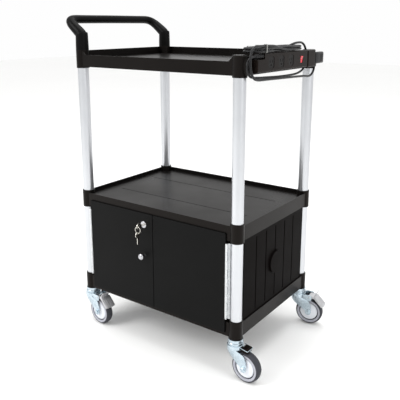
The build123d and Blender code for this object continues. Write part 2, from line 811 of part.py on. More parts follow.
def make_pedal(post, yaw):
    pedal_top = pedal_pivot_z + pedal_boss
    with BuildPart() as pedal:
        with Locations(Plane(origin=(pedal_pivot_x, 0, pedal_pivot_z), z_dir=(0, 1, 0))):
            Cylinder(pedal_pin_radius, 2 * leg_outer + 4)
            Cylinder(pedal_boss, 2 * leg_inner - 0.8)
        with BuildSketch(Plane.XZ):
            with BuildLine():
                Polyline(
                    (pedal_pivot_x, pedal_top),
                    (pedal_knee_x, pedal_top),
                    (pedal_tip_x, pedal_pivot_z - pedal_drop),
                    (pedal_tip_x - 2.5, pedal_pivot_z - pedal_drop - 2),
                    (pedal_knee_x - 1.2, pedal_top - pedal_wall),
                    (pedal_pivot_x, pedal_top - pedal_wall),
                    close=True,
                )
            make_face()
        extrude(amount=leg_inner - 0.6, both=True)
        with BuildSketch(Plane.XZ):
            with BuildLine():
                Polyline(
                    (pedal_knee_x, pedal_top),
                    (pedal_tip_x, pedal_pivot_z - pedal_drop),
                    (pedal_tip_x - 2.5, pedal_pivot_z - pedal_drop - 2),
                    (pedal_knee_x - 1.2, pedal_top - pedal_wall),
                    close=True,
                )
            make_face()
        extrude(amount=pedal_width / 2, both=True)
        fillet(pedal.edges().filter_by(Axis.Y).sort_by(Axis.X)[-1], 1)
        with BuildSketch(Plane.XZ):
            with BuildLine():
                Polyline(
                    (pedal_knee_x - 8, pedal_top - 1.2),
                    (pedal_knee_x, pedal_top - 1.2),
                    (pedal_knee_x - 4.5, pedal_top + 11.3),
                    (pedal_knee_x - 9.5, pedal_top + 13.8),
                    (pedal_knee_x - 10.5, pedal_top + 11.4),
                    (pedal_knee_x - 6.8, pedal_top + 9.2),
                    close=True,
                )
            make_face()
        extrude(amount=leg_inner - 1, both=True)
    return pedal.part.moved(Location((post[0], post[1], 0), (0, 0, yaw)))


caster_yaw = {"front_left": -5.0, "front_right": -3.0, "back_right": 9.0, "back_left": 4.0}
for corner, yaw in caster_yaw.items():
    braked = corner in ("front_left", "back_right")
    post = corners[corner]
    write(make_fork(post, yaw, braked), corner + "_fork")
    write(make_axle(post, yaw), corner + "_axle")
    write(make_wheel_core(post, yaw), corner + "_wheel")
    write(make_tyre(post, yaw), corner + "_tyre")
    if braked:
        write(make_pedal(post, yaw), corner + "_brake_pedal")

# Power strip
strip_in = right_x + strip_inner
strip_out = strip_in + strip_depth
strip_y0 = front_y + strip_start
strip_y1 = strip_y0 + strip_length
skirt_face = right_x + skirt_reach
strip_plane = Plane(origin=(strip_out, 0, top_z), x_dir=(0, 1, 0), z_dir=(1, 0, 0))
notch_end = front_y + 66.0
relief_z = top_z + 58.0
relief_x = strip_in + 9.0
bracket_inset = 18.0
bracket_low = 17.0
bracket_high = 44.0
notch_foot = relief_z - 9.0

with BuildPart() as strip_bracket:
    box_between(
        (skirt_face + 0.1, strip_y0 + bracket_inset, top_z + bracket_low),
        (strip_in - 0.1, strip_y1 - bracket_inset, top_z + bracket_high),
    )
write(strip_bracket.part, "strip_bracket")

with BuildPart() as strip_housing:
    box_between((strip_in, strip_y0, top_z + strip_low), (strip_out, strip_y1, top_z + strip_high))
    fillet(strip_housing.faces().sort_by(Axis.X)[-1].edges(), 5)
    cut_box(
        (strip_in - 1, strip_y0 + strip_wall, top_z + strip_low + strip_wall),
        (strip_out - strip_wall, strip_y1 - strip_wall, top_z + strip_high - strip_wall),
    )
    cut_box(
        (strip_in - 1, strip_y0 - 1, notch_foot),
        (strip_out + 1, notch_end, top_z + strip_high + 1),
    )
    box_between(
        (strip_in, strip_y0, notch_foot - strip_wall),
        (strip_out, notch_end, notch_foot),
    )
    box_between(
        (strip_in, notch_end - strip_wall, notch_foot),
        (strip_out, notch_end, top_z + strip_high),
    )
    with BuildSketch(strip_plane):
        for index in range(3):
            with Locations((front_y + outlet_first + index * outlet_pitch, (strip_low + strip_high) / 2)):
                RectangleRounded(outlet_size, outlet_size, 8)
        with Locations((front_y + rocker_y, rocker_z)):
            Rectangle(rocker_width + 1.0, rocker_height + 1.0)
    extrude(amount=-strip_wall - 1, mode=Mode.SUBTRACT)
    with Locations(Plane(origin=(relief_x, notch_end, relief_z), z_dir=(0, 1, 0))):
        Cylinder(cord_diameter / 2 + 0.5, 6, mode=Mode.SUBTRACT)
write(strip_housing.part, "strip_housing")

with BuildPart() as outlet_faces:
    for index in range(3):
        centre = (front_y + outlet_first + index * outlet_pitch, (strip_low + strip_high) / 2)
        with BuildSketch(strip_plane.offset(-10)):
            with Locations(centre):
                RectangleRounded(outlet_size - 0.4, outlet_size - 0.4, 8)
        extrude(amount=9)
        with BuildSketch(strip_plane):
            with Locations((centre[0] - 6.3, centre[1] + 3), (centre[0] + 6.3, centre[1] + 3)):
                Rectangle(2.2, 8.0)
            with Locations((centre[0], centre[1] - 8)):
                Circle(2.6)
        extrude(amount=-8, mode=Mode.SUBTRACT)
write(outlet_faces.part, "outlet_faces")

rocker_middle = (strip_out - 1.5, front_y + rocker_y, top_z + rocker_z)
rocker_plane = Plane(origin=rocker_middle, x_dir=(1, 0, 0), z_dir=(0, 1, 0))
rocker_half = rocker_height / 2
with BuildPart() as rocker_switch:
    with BuildSketch(rocker_plane):
        with BuildLine():
            Polyline(
                (-6, -rocker_half + 1.6),
                (1.8, -rocker_half + 0.6),
                (0.6, 0),
                (1.8, rocker_half - 0.6),
                (-6, rocker_half - 1.6),
                close=True,
            )
        make_face()
    extrude(amount=rocker_width / 2, both=True)
    with Locations(rocker_plane):
        Cylinder(1.2, rocker_width + 0.8)
rocker_pivot = Axis((strip_out - 1.5, 0, top_z + rocker_z), (0, 1, 0))
write(rocker_switch.part.rotate(rocker_pivot, rocker_tilt), "rocker_switch")

relief_start = front_y + 22.0
relief_end = notch_end - strip_wall - 0.1
with BuildPart() as cord_relief:
    with BuildSketch(Plane(origin=(relief_x, 0, 0), x_dir=(0, 1, 0), z_dir=(1, 0, 0))):
        with BuildLine():
            Polyline(
                (relief_start, relief_z),
                (relief_start, relief_z + 4.6),
                (relief_end, relief_z + 6.6),
                (relief_end, relief_z),
                close=True,
            )
        make_face()
    revolve(axis=Axis((relief_x, 0, relief_z), (0, 1, 0)))
    for index in range(4):
        with Locations(Plane(origin=(relief_x, relief_start + 6 + index * 10, relief_z), z_dir=(0, 1, 0))):
            Cylinder(7.0, 4)
write(cord_relief.part, "cord_relief")

holder_in = strip_in
holder_y1 = strip_y1 + holder_length
plug_mid_z = top_z + 37.0
blade_offset = 6.3          # each blade from the plug's middle height
with BuildPart() as plug_holder:
    box_between((holder_in, strip_y1 + 0.1, top_z + 9), (strip_out + 1, holder_y1, top_z + 65))
    fillet(plug_holder.faces().sort_by(Axis.X)[-1].edges(), 5)
    cut_box((holder_in - 1, strip_y1 + 4, top_z + 12), (strip_out - 2, holder_y1 - 26, top_z + 62))
    for dz in (-blade_offset, blade_offset):
        cut_box(
            (holder_in + 5, holder_y1 - 20, plug_mid_z + dz - 1.2),
            (holder_in + 13, holder_y1 + 1, plug_mid_z + dz + 1.2),
        )
write(plug_holder.part, "plug_holder")

plug_x = holder_in + 9.5
plug_low = plug_mid_z - plug_height / 2
with BuildPart() as plug:
    box_between(
        (plug_x - plug_depth / 2, holder_y1 + 0.2, plug_low),
        (plug_x + plug_depth / 2, holder_y1 + plug_length, plug_low + plug_height),
    )
    fillet(plug.edges().filter_by(Axis.Y), 4)
    fillet(plug.faces().sort_by(Axis.Y)[-1].edges(), 3)
    with BuildSketch(Plane.XY.offset(plug_low - 3)):
        with Locations((plug_x, holder_y1 + 12)):
            Circle(5.0)
    extrude(amount=5)
    for dz in (-blade_offset, blade_offset):
        box_between(
            (holder_in + 5.9, holder_y1 - 17, plug_mid_z + dz - 0.75),
            (holder_in + 12.1, holder_y1 + 1, plug_mid_z + dz + 0.75),
        )
write(plug.part, "plug")


# Supply cord
def cord_radii(points):
    radii = []
    for before, here, after in zip(points, points[1:], points[2:]):
        run_in = Vector(*here) - Vector(*before)
        run_out = Vector(*after) - Vector(*here)
        turn = math.radians(run_in.get_angle(run_out))
        radii.append(0.45 * min(run_in.length, run_out.length) / math.tan(turn / 2))
    return radii


def make_cord(points, label):
    radii = cord_radii(points)
    with BuildPart() as cord:
        with BuildLine():
            route = FilletPolyline(*points, radius=radii)
        start = Vector(*points[1]) - Vector(*points[0])
        with BuildSketch(Plane(origin=points[0], z_dir=start)):
            Circle(cord_diameter / 2)
        sweep(path=route)
    length = route.length
    area = math.pi * cord_diameter ** 2 / 4
    print(label, "length", round(length, 1), "volume ratio", round(cord.part.volume / (area * length), 4))
    print("  radii", [round(r, 1) for r in radii])
    write(cord.part, label)


def strip_point(x, y, z):
    """x beyond the right post axes, y behind the front post axes, z above the tray collars' foot."""
    return (right_x + x, front_y + y, top_z + z)


lead_out = [strip_point(*p) for p in (
    (35, 22, 58), (35, 2, 58), (35, -10, 42), (35, -9, 19), (35, 9, 3), (35, 42, -1), (34, 95, -5),
    (33, 165, -8), (31, 235, -9), (27, 295, -9), (22, 337, -5), (21, 365, 4), (21, 380, 29),
    (21, 380, 57), (21, 367, 81), (22, 343, 93), (24, 318, 94))]
make_cord(lead_out, "cord_lead_out")

lead_back = [strip_point(*p) for p in (
    (42, 24, 87), (42, 3, 86), (43, -15, 68), (45, -17, 40), (45, -14, 11), (45, 7, -9), (44, 42, -12),
    (42, 95, -15), (42, 165, -18), (41, 235, -20), (39, 295, -21), (37, 342, -22), (36, 374, -22),
    (35.5, 399, -19), (35.5, 415, -5), (35.5, 415, 15))]
make_cord(lead_back, "cord_lead_back")

# The wound middle of the cord: a flat hank two turns high, lying along the top of the strip.
# Its far end is higher, where the lead from below passes over the turns, and the other lead
# lies on its outer edge.
hank_in = right_x - 19.0
hank_out = right_x + 46.0
hank_foot = top_z + strip_high + 2.0
hank_y0 = front_y + 24.0
hank_y1 = front_y + 318.0
hank_corner = 28.0
hank_height = 16.0
ridge_height = 23.5
ridge_width = 10.0
hump_start = front_y + 236.0
hump_height = 30.0
hump_in = right_x + 12.0
hump_width = 18.0
with BuildPart() as cord_hank:
    box_between((hank_in, hank_y0, hank_foot), (hank_out, hank_y1, hank_foot + hank_height))
    fillet(cord_hank.edges().filter_by(Axis.Z), hank_corner)
    box_between(
        (hank_out - ridge_width, hank_y0 + 5, hank_foot + hank_height / 2),
        (hank_out - 1, hank_y1 - hank_corner, hank_foot + ridge_height),
    )
    with BuildSketch(Plane(origin=(hump_in, 0, 0), x_dir=(0, 1, 0), z_dir=(1, 0, 0))):
        with BuildLine():
            Polyline(
                (hump_start, hank_foot + hank_height / 2),
                (hank_y1 - 12, hank_foot + hank_height / 2),
                (hank_y1 - 0.5, hank_foot + hump_height - 8),
                (hank_y1 - 0.5, hank_foot + hump_height),
                (hank_y1 - 36, hank_foot + hump_height),
                (hump_start, hank_foot + hank_height),
                close=True,
            )
        make_face()
    extrude(amount=hump_width)
write(cord_hank.part, "cord_hank")

tie_wall = 1.2
tie_y0 = front_y + 66.0
tie_y1 = front_y + 74.0
tie_gap = 0.1
with BuildPart() as cord_tie:
    box_between(
        (hank_in - tie_gap - tie_wall, tie_y0, hank_foot - tie_gap - tie_wall),
        (hank_out + tie_gap + tie_wall, tie_y1, hank_foot + ridge_height + tie_gap + tie_wall),
    )
    fillet(cord_tie.edges().filter_by(Axis.Y), 1)
    cut_box(
        (hank_in - tie_gap, tie_y0 - 1, hank_foot - tie_gap),
        (hank_out + tie_gap, tie_y1 + 1, hank_foot + ridge_height + tie_gap),
    )
write(cord_tie.part, "cord_tie")
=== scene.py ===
import json
import math
import bmesh
import bpy
from mathutils import Matrix, Vector


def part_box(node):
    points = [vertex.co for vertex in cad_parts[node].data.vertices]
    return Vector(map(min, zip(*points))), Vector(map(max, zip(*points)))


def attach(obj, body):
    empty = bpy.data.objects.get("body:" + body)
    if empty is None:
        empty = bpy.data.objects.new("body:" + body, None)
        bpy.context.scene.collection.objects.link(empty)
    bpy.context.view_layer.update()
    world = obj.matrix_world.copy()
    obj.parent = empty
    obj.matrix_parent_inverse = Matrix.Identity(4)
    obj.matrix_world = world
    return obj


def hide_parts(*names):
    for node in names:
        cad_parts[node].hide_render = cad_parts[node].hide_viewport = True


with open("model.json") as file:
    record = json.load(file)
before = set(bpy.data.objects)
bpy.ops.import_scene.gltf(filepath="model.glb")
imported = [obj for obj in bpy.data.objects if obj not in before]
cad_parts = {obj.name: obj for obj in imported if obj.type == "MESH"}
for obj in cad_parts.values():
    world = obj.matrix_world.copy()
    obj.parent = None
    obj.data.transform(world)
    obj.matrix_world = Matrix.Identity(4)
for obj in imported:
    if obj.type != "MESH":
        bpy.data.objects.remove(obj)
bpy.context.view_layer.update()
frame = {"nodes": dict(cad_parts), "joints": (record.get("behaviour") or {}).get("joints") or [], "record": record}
scene = bpy.context.scene
nodes = frame["nodes"]
mm = 0.001
print("frame loaded:", len(nodes), "parts")

# Where the frame's main lines are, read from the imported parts
tubeRadius = 19 * mm
postLow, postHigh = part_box("upper_posts")
leftX, rightX = postLow.x + tubeRadius, postHigh.x - tubeRadius
frontY, backY = postLow.y + tubeRadius, postHigh.y - tubeRadius
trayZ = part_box("top_tray")[0].z      # lower edge of the tray's corner collars

# Camera
view = {
    "place": (1.1750, -1.6090, 1.1001),
    "pitch": 0.2331,
    "yaw": 0.6234,
    "lens": 51.94,
    "shiftUp": -0.10,
}
cameraData = bpy.data.cameras.new("viewCamera")
cameraData.lens = view["lens"]
cameraData.shift_y = view["shiftUp"]
camera = bpy.data.objects.new("viewCamera", cameraData)
camera.location = view["place"]
camera.rotation_euler = (math.pi / 2 - view["pitch"], 0, view["yaw"])
scene.collection.objects.link(camera)
scene.camera = camera


# Tools for materials
def linearColour(text):
    values = [int(text[i:i + 2], 16) / 255 for i in (1, 3, 5)]
    return [v / 12.92 if v <= 0.04045 else ((v + 0.055) / 1.055) ** 2.4 for v in values] + [1.0]


def addNode(tree, kind, settings, links=None):
    node = tree.nodes.new(kind)
    for key, value in settings.items():
        if key in node.inputs:
            node.inputs[key].default_value = value
        else:
            setattr(node, key, value)
    for key, socket in (links or {}).items():
        tree.links.new(socket, node.inputs[key])
    return node


def startMaterial(name, shaderSettings):
    material = bpy.data.materials.new(name)
    material.use_nodes = True
    tree = material.node_tree
    tree.nodes.clear()
    shader = addNode(tree, "ShaderNodeBsdfPrincipled", shaderSettings)
    addNode(tree, "ShaderNodeOutputMaterial", {}, {"Surface": shader.outputs["BSDF"]})
    coords = addNode(tree, "ShaderNodeTexCoord", {})
    return material, tree, shader, coords.outputs["Object"]


def paintNode(name, material):
    for slot in nodes[name].material_slots:
        slot.material = material


def grainedPlastic(name, look):
    # Injection-moulded plastic: two close tones, a fine spark-eroded grain and slow sheen changes.
    # The grain is drawn at about a millimetre, a few times the real size, so that it shows.
    # A cast other than white tints the specular reflections: a painted reflection colour standing in for warm
    # surroundings.
    material, tree, shader, place = startMaterial(name, {
        "IOR": look.get("ior", 1.49), "Specular IOR Level": look.get("shine", 0.26),
        "Specular Tint": linearColour(look.get("cast", "#FFFFFF"))})
    sheen = addNode(tree, "ShaderNodeTexNoise", {"Scale": 1 / look["patch"], "Detail": 3.0},
                    {"Vector": place})
    tint = addNode(tree, "ShaderNodeMix", {"data_type": "RGBA"}, {"Factor": sheen.outputs["Fac"]})
    tint.inputs[6].default_value = linearColour(look["dark"])
    tint.inputs[7].default_value = linearColour(look["light"])
    rough = addNode(tree, "ShaderNodeMapRange", {"From Min": 0.3, "From Max": 0.7,
                    "To Min": look["rough"][0], "To Max": look["rough"][1]},
                    {"Value": sheen.outputs["Fac"]})
    grain = addNode(tree, "ShaderNodeTexNoise", {"Scale": 1 / look["grain"], "Detail": 2.0},
                    {"Vector": place})
    bump = addNode(tree, "ShaderNodeBump", {"Strength": look["relief"], "Distance": 0.0004},
                   {"Height": grain.outputs["Fac"]})
    tree.links.new(tint.outputs[2], shader.inputs["Base Color"])
    tree.links.new(rough.outputs["Result"], shader.inputs["Roughness"])
    tree.links.new(bump.outputs["Normal"], shader.inputs["Normal"])
    return material


# Trays: black injection-moulded polypropylene; satin, so the flat decks mirror the room softly; the cast gives
# their reflections a painted warm tint
trayPlastic = grainedPlastic("mouldedPolypropylene", {
    "dark": "#090808", "light": "#100E0D", "cast": "#FFF1E8", "rough": (0.26, 0.36), "patch": 0.16,
    "grain": 0.0011, "relief": 0.16, "shine": 0.12, "ior": 1.46})
# Push handle: the same plastic with a finer, silkier skin that dims its highlights
handlePlastic = grainedPlastic("satinPolypropylene", {
    "dark": "#080808", "light": "#0E0D0D", "rough": (0.30, 0.40), "patch": 0.06,
    "grain": 0.0012, "relief": 0.22, "shine": 0.08, "ior": 1.42})
# Cabinet panels: thinner moulded plastic; nearly black with a brownish cast and hardly any gloss
panelPlastic = grainedPlastic("mouldedPanelPlastic", {
    "dark": "#080606", "light": "#0D0A09", "rough": (0.36, 0.46), "patch": 0.12,
    "grain": 0.0012, "relief": 0.2, "shine": 0.03, "ior": 1.34})
# Doors: board with an embossed plastic skin; duller than the trays, with a coarser orange-peel grain
doorBoard = grainedPlastic("texturedDoorSkin", {
    "dark": "#080808", "light": "#0C0C0C", "rough": (0.44, 0.54), "patch": 0.20,
    "grain": 0.0016, "relief": 0.5, "shine": 0.08})
# Power strip: moulded black ABS; a little glossier on its flats than the trays' rims; the cast gives its
# reflections a painted warm tint
stripPlastic = grainedPlastic("blackAbs", {
    "dark": "#0A0706", "light": "#110C0A", "cast": "#FFE4D6", "rough": (0.30, 0.40), "patch": 0.05,
    "grain": 0.0009, "relief": 0.14, "shine": 0.10})
# Outlet faces: hard thermoset, pressed smooth; a shade paler than the strip, so they stand out from it
outletPlastic = grainedPlastic("outletThermoset", {
    "dark": "#0A0908", "light": "#120F0E", "rough": (0.34, 0.40), "patch": 0.03,
    "grain": 0.0008, "relief": 0.1, "shine": 0.12})
# Magnetic catch: moulded brown nylon; a dull warm spot inside the cabinet
catchPlastic = grainedPlastic("catchNylon", {
    "dark": "#241812", "light": "#33231B", "rough": (0.35, 0.45), "patch": 0.02,
    "grain": 0.0008, "relief": 0.1})
# Wheel centres: pale grey polypropylene, smooth from the tool; the brightest plastic on the cart
corePlastic = grainedPlastic("paleWheelPolypropylene", {
    "dark": "#D3D6DC", "light": "#E6E9EE", "rough": (0.28, 0.38), "patch": 0.03,
    "grain": 0.0009, "relief": 0.05})
# Wheel rims: mid grey polypropylene; a ring between the pale centre and the dark tyre
rimPlastic = grainedPlastic("greyRimPolypropylene", {
    "dark": "#9C9DA6", "light": "#B4B5BD", "rough": (0.30, 0.40), "patch": 0.03,
    "grain": 0.0009, "relief": 0.05})
# Tyres: moulded grey thermoplastic rubber; matt and slightly dusty, with no clear highlight
tyreRubber = grainedPlastic("greyTyreRubber", {
    "dark": "#2B2C31", "light": "#3F4046", "rough": (0.55, 0.72), "patch": 0.02,
    "grain": 0.0010, "relief": 0.35})
# Cord, its sleeve and the plug: black flexible PVC; a soft satin line along each turn
cordPvc = grainedPlastic("blackPvc", {
    "dark": "#0E0E0F", "light": "#1B1B1D", "rough": (0.32, 0.44), "patch": 0.03,
    "grain": 0.0008, "relief": 0.12})
# Cord tie: natural nylon, smooth from the tool; a pale grey band across the black turns
tieNylon = grainedPlastic("naturalNylon", {
    "dark": "#6F6F6C", "light": "#8E8E8A", "rough": (0.3, 0.4), "patch": 0.02,
    "grain": 0.0009, "relief": 0.05})


def platedMetal(name, look):
    # Plated or anodised metal: fine lines along one axis where it was drawn or brushed, cloudy where dipped
    material, tree, shader, place = startMaterial(name, {"Metallic": 1.0})
    stretched = addNode(tree, "ShaderNodeMapping", {"Scale": look["stretch"]}, {"Vector": place})
    lines = addNode(tree, "ShaderNodeTexNoise", {"Scale": 1 / look["line"], "Detail": 3.0},
                    {"Vector": stretched.outputs["Vector"]})
    cloud = addNode(tree, "ShaderNodeTexNoise", {"Scale": 1 / look["cloud"], "Detail": 4.0},
                    {"Vector": place})
    tint = addNode(tree, "ShaderNodeMix", {"data_type": "RGBA"}, {"Factor": cloud.outputs["Fac"]})
    tint.inputs[6].default_value = linearColour(look["dark"])
    tint.inputs[7].default_value = linearColour(look["light"])
    mixed = addNode(tree, "ShaderNodeMath", {"operation": "ADD"},
                    {0: lines.outputs["Fac"], 1: cloud.outputs["Fac"]})
    rough = addNode(tree, "ShaderNodeMapRange", {"From Min": 0.7, "From Max": 1.3,
                    "To Min": look["rough"][0], "To Max": look["rough"][1]},
                    {"Value": mixed.outputs["Value"]})
    bump = addNode(tree, "ShaderNodeBump", {"Strength": look["relief"], "Distance": 0.0002},
                   {"Height": lines.outputs["Fac"]})
    tree.links.new(tint.outputs[2], shader.inputs["Base Color"])
    tree.links.new(rough.outputs["Result"], shader.inputs["Roughness"])
    tree.links.new(bump.outputs["Normal"], shader.inputs["Normal"])
    return material


# Satin anodised aluminium tube: drawn lines along the post spread the highlight sideways
tubeAluminium = platedMetal("anodisedAluminium", {
    "dark": "#C2C4C8", "light": "#CDCFD2", "rough": (0.28, 0.34), "stretch": (1, 1, 0.02),
    "line": 0.0012, "cloud": 0.08, "relief": 0.03})
# Hinges: bright zinc-plated rolled steel; crisp glints along the knuckles
hingeSteel = platedMetal("brightZincHinge", {
    "dark": "#C3C5C7", "light": "#DCDEDF", "rough": (0.18, 0.30), "stretch": (1, 1, 0.1),
    "line": 0.0012, "cloud": 0.02, "relief": 0.08})
# Lock face and knob: chrome plate over a polished casting; small, sharp and almost mirror-like
chromePlate = platedMetal("chromePlate", {
    "dark": "#97979B", "light": "#C6C6C9", "rough": (0.08, 0.14), "stretch": (1, 1, 1),
    "line": 0.002, "cloud": 0.01, "relief": 0.02})
# Keys, ring and plug blades: nickel plate over stamped brass; a warm silver with brushed lines
keyNickel = platedMetal("nickelPlate", {
    "dark": "#CFCBC2", "light": "#E6E3DB", "rough": (0.14, 0.24), "stretch": (1, 0.1, 1),
    "line": 0.001, "cloud": 0.01, "relief": 0.06})
# Bright zinc with its bluish passivation: pressed forks, cloudy rather than brushed
casterZinc = platedMetal("blueZincPlate", {
    "dark": "#9FB0BB", "light": "#D6E2E9", "rough": (0.20, 0.34), "stretch": (1, 1, 1),
    "line": 0.004, "cloud": 0.015, "relief": 0.05})
# Brake pedals: pressed steel, zinc plated and brushed; a broad grey sheen without mirror spots
pedalZinc = platedMetal("brushedZincPedal", {
    "dark": "#BDBDBF", "light": "#D6D6D8", "rough": (0.52, 0.64), "stretch": (0.08, 1, 1),
    "line": 0.0012, "cloud": 0.012, "relief": 0.2})

# Lit rocker: translucent red polycarbonate with a lamp behind it
rockerRed, rockerTree, rockerShader, rockerPlace = startMaterial("litRedPolycarbonate", {
    "IOR": 1.58, "Roughness": 0.22, "Emission Strength": 0.1})
lampGlow = addNode(rockerTree, "ShaderNodeTexNoise", {"Scale": 120.0, "Detail": 1.0}, {"Vector": rockerPlace})
lampTint = addNode(rockerTree, "ShaderNodeMix", {"data_type": "RGBA"}, {"Factor": lampGlow.outputs["Fac"]})
lampTint.inputs[6].default_value = linearColour("#A80F20")
lampTint.inputs[7].default_value = linearColour("#E02336")
rockerTree.links.new(lampTint.outputs[2], rockerShader.inputs["Base Color"])
rockerTree.links.new(lampTint.outputs[2], rockerShader.inputs["Emission Color"])

slotLook = {
    "moulded_black": trayPlastic, "handle_black": handlePlastic, "panel_black": panelPlastic,
    "door_black": doorBoard, "tube_aluminium": tubeAluminium, "hinge_steel": hingeSteel,
    "chrome": chromePlate, "key_nickel": keyNickel, "catch_plastic": catchPlastic,
    "strip_black": stripPlastic, "outlet_black": outletPlastic, "rocker_red": rockerRed,
    "cord_black": cordPvc, "tie_plastic": tieNylon, "caster_zinc": casterZinc,
    "brake_zinc": pedalZinc, "wheel_core": corePlastic, "tyre_grey": tyreRubber,
}
for part in frame["record"]["subparts"]:
    paintNode(part["node"], slotLook[part["material_slot"]])
print("materials made:", len(slotLook))


# Shaping tools; pieces are in millimetres until they are finished
def spunShape(profile, steps=48, closed=False):
    # profile is (radius, height) pairs, spun about Z
    shape = bmesh.new()
    verts = [shape.verts.new((r, 0, h)) for r, h in profile]
    pairs = list(zip(verts, verts[1:])) + ([(verts[-1], verts[0])] if closed else [])
    edges = [shape.edges.new(pair) for pair in pairs]
    bmesh.ops.spin(shape, geom=verts + edges, cent=(0, 0, 0), axis=(0, 0, 1), dvec=(0, 0, 0),
                   angle=2 * math.pi, steps=steps, use_merge=True, use_duplicate=False)
    bmesh.ops.remove_doubles(shape, verts=shape.verts, dist=0.001)
    bmesh.ops.recalc_face_normals(shape, faces=shape.faces)
    return shape


def blockShape(size, place=(0, 0, 0), edge=0.5, corner=0, cornerAxis=2):
    # A box with its edges rounded; corner rounds the four edges along one axis first
    shape = bmesh.new()
    bmesh.ops.create_cube(shape, size=1)
    bmesh.ops.scale(shape, verts=shape.verts, vec=size)
    if corner:
        along = [e for e in shape.edges
                 if abs((e.verts[0].co - e.verts[1].co).normalized()[cornerAxis]) > 0.99]
        bmesh.ops.bevel(shape, geom=along, offset=corner, segments=6, profile=0.5, affect="EDGES",
                        material=-1)
    if edge:
        sharp = [e for e in shape.edges if e.calc_face_angle(0) > 0.8]
        bmesh.ops.bevel(shape, geom=sharp, offset=edge, segments=2, profile=0.5, affect="EDGES",
                        material=-1)
    bmesh.ops.translate(shape, verts=shape.verts, vec=place)
    return shape


def addShape(target, shape, place=Matrix.Identity(4), finish=0):
    shape.transform(place)
    for face in shape.faces:
        face.material_index = finish
    carrier = bpy.data.meshes.new("carrier")
    shape.to_mesh(carrier)
    shape.free()
    target.from_mesh(carrier)
    bpy.data.meshes.remove(carrier)


def finishPiece(name, shape, looks, body, standsFor=(), place=Matrix.Identity(4), sharpAngle=35):
    shape.transform(Matrix.Scale(mm, 4) @ place)      # place is in millimetres too
    mesh = bpy.data.meshes.new(name)
    shape.to_mesh(mesh)
    shape.free()
    mesh.shade_smooth()
    mesh.set_sharp_from_angle(angle=math.radians(sharpAngle))
    for look in looks:
        mesh.materials.append(look)
    piece = bpy.data.objects.new(name, mesh)
    scene.collection.objects.link(piece)
    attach(piece, body)
    if standsFor:
        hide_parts(*standsFor)
    return piece


def turned(axis, degrees):
    return Matrix.Rotation(math.radians(degrees), 4, axis)


def moved(x, y, z):
    return Matrix.Translation((x, y, z))


# Supply cord
# Points are metres to the right of the right posts, behind the front posts and above the tray collars' foot.
# It leaves the strip's near end, loops below it to the far end, is wound along the top and ends in the plug.
leadOut = [
    (0.035, 0.022, 0.058), (0.035, 0.001, 0.058), (0.035, -0.017, 0.047), (0.035, -0.021, 0.024),
    (0.035, -0.007, 0.004), (0.035, 0.020, -0.001), (0.035, 0.050, -0.003), (0.034, 0.095, -0.005),
    (0.033, 0.165, -0.008), (0.031, 0.235, -0.009), (0.027, 0.295, -0.009), (0.022, 0.337, -0.005),
    (0.021, 0.365, 0.004), (0.021, 0.380, 0.029), (0.021, 0.380, 0.055), (0.021, 0.367, 0.078),
    (0.022, 0.343, 0.089), (0.024, 0.318, 0.090)]
leadBack = [
    (0.042, 0.028, 0.087), (0.042, 0.004, 0.086), (0.043, -0.014, 0.069), (0.045, -0.019, 0.044),
    (0.045, -0.015, 0.016), (0.045, 0.002, -0.003), (0.044, 0.027, -0.008), (0.043, 0.055, -0.009),
    (0.042, 0.095, -0.010), (0.042, 0.165, -0.012), (0.041, 0.235, -0.014), (0.039, 0.295, -0.016),
    (0.037, 0.342, -0.018), (0.036, 0.366, -0.021), (0.0355, 0.388, -0.020), (0.0355, 0.405, -0.011),
    (0.0355, 0.414, 0.002), (0.0355, 0.415, 0.015)]
winding = {
    "middle": 0.013, "nearTurn": 0.056, "farTurn": 0.286,
    "inner": 0.0215, "outer": 0.0289, "foot": 0.0717, "layer": 0.0077, "slack": 0.0012,
    "bendStep": 30, "bendPoints": 6,      # degrees between the points of a half turn, and how many
    "length": 3.92, "diameter": 0.007,
}


def windingPoints():
    inner, outer, foot, layer = (winding[k] for k in ("inner", "outer", "foot", "layer"))
    near, far, middle = winding["nearTurn"], winding["farTurn"], winding["middle"]
    second, third = foot + layer, foot + 2 * layer - 0.001
    straight = far - near
    halfStep = winding["bendStep"] / 2
    bend = [math.radians(halfStep + winding["bendStep"] * k) for k in range(winding["bendPoints"])]
    # one entry per pass along the outer straight: radius and height before, then after, and where it changes
    passes = [
        (inner, foot, outer, foot, 0.60), (outer, foot, outer, second, 0.42),
        (outer, second, inner, second, 0.24), (inner, second, outer, third, 0.55)]
    points = [
        (0.0245, 0.285, 0.0888), (0.0245, 0.245, 0.081), (0.0245, 0.205, 0.0745), (0.0250, 0.160, 0.0716),
        (0.0280, 0.118, foot), (middle + inner, 0.085, foot)]
    for turn, (radiusIn, heightIn, radiusOut, heightOut, change) in enumerate(passes):
        slack = winding["slack"] * math.sin(2.4 * turn + 0.5)     # hand-wound turns reach further or less
        spread = radiusIn / math.cos(math.radians(halfStep))
        leg = 2 * radiusIn * math.tan(math.radians(halfStep))     # run between the points of a bend
        rise = spread * math.sin(math.radians(halfStep))
        points.append((middle + radiusIn, near - slack - rise + leg, heightIn))
        for angle in bend:
            across, along = spread * math.cos(angle), spread * math.sin(angle)
            points.append((middle + across, near - slack - along, heightIn))
        points.append((middle - radiusIn, near - slack - rise + leg, heightIn))
        points.append((middle - radiusIn + 0.0008 * math.cos(turn), (near + far) / 2, heightIn))
        points.append((middle - radiusIn, far + slack + rise - leg, heightIn))
        for angle in reversed(bend):
            across, along = spread * math.cos(angle), spread * math.sin(angle)
            points.append((middle + across, far + slack + along, heightIn))
        points.append((middle + radiusIn, far + slack + rise - leg, heightIn))
        points.append((middle + radiusIn, far - change * straight - 0.002, heightIn))
        points.append((middle + radiusOut, far - (change + 0.16) * straight, heightOut))
    return points


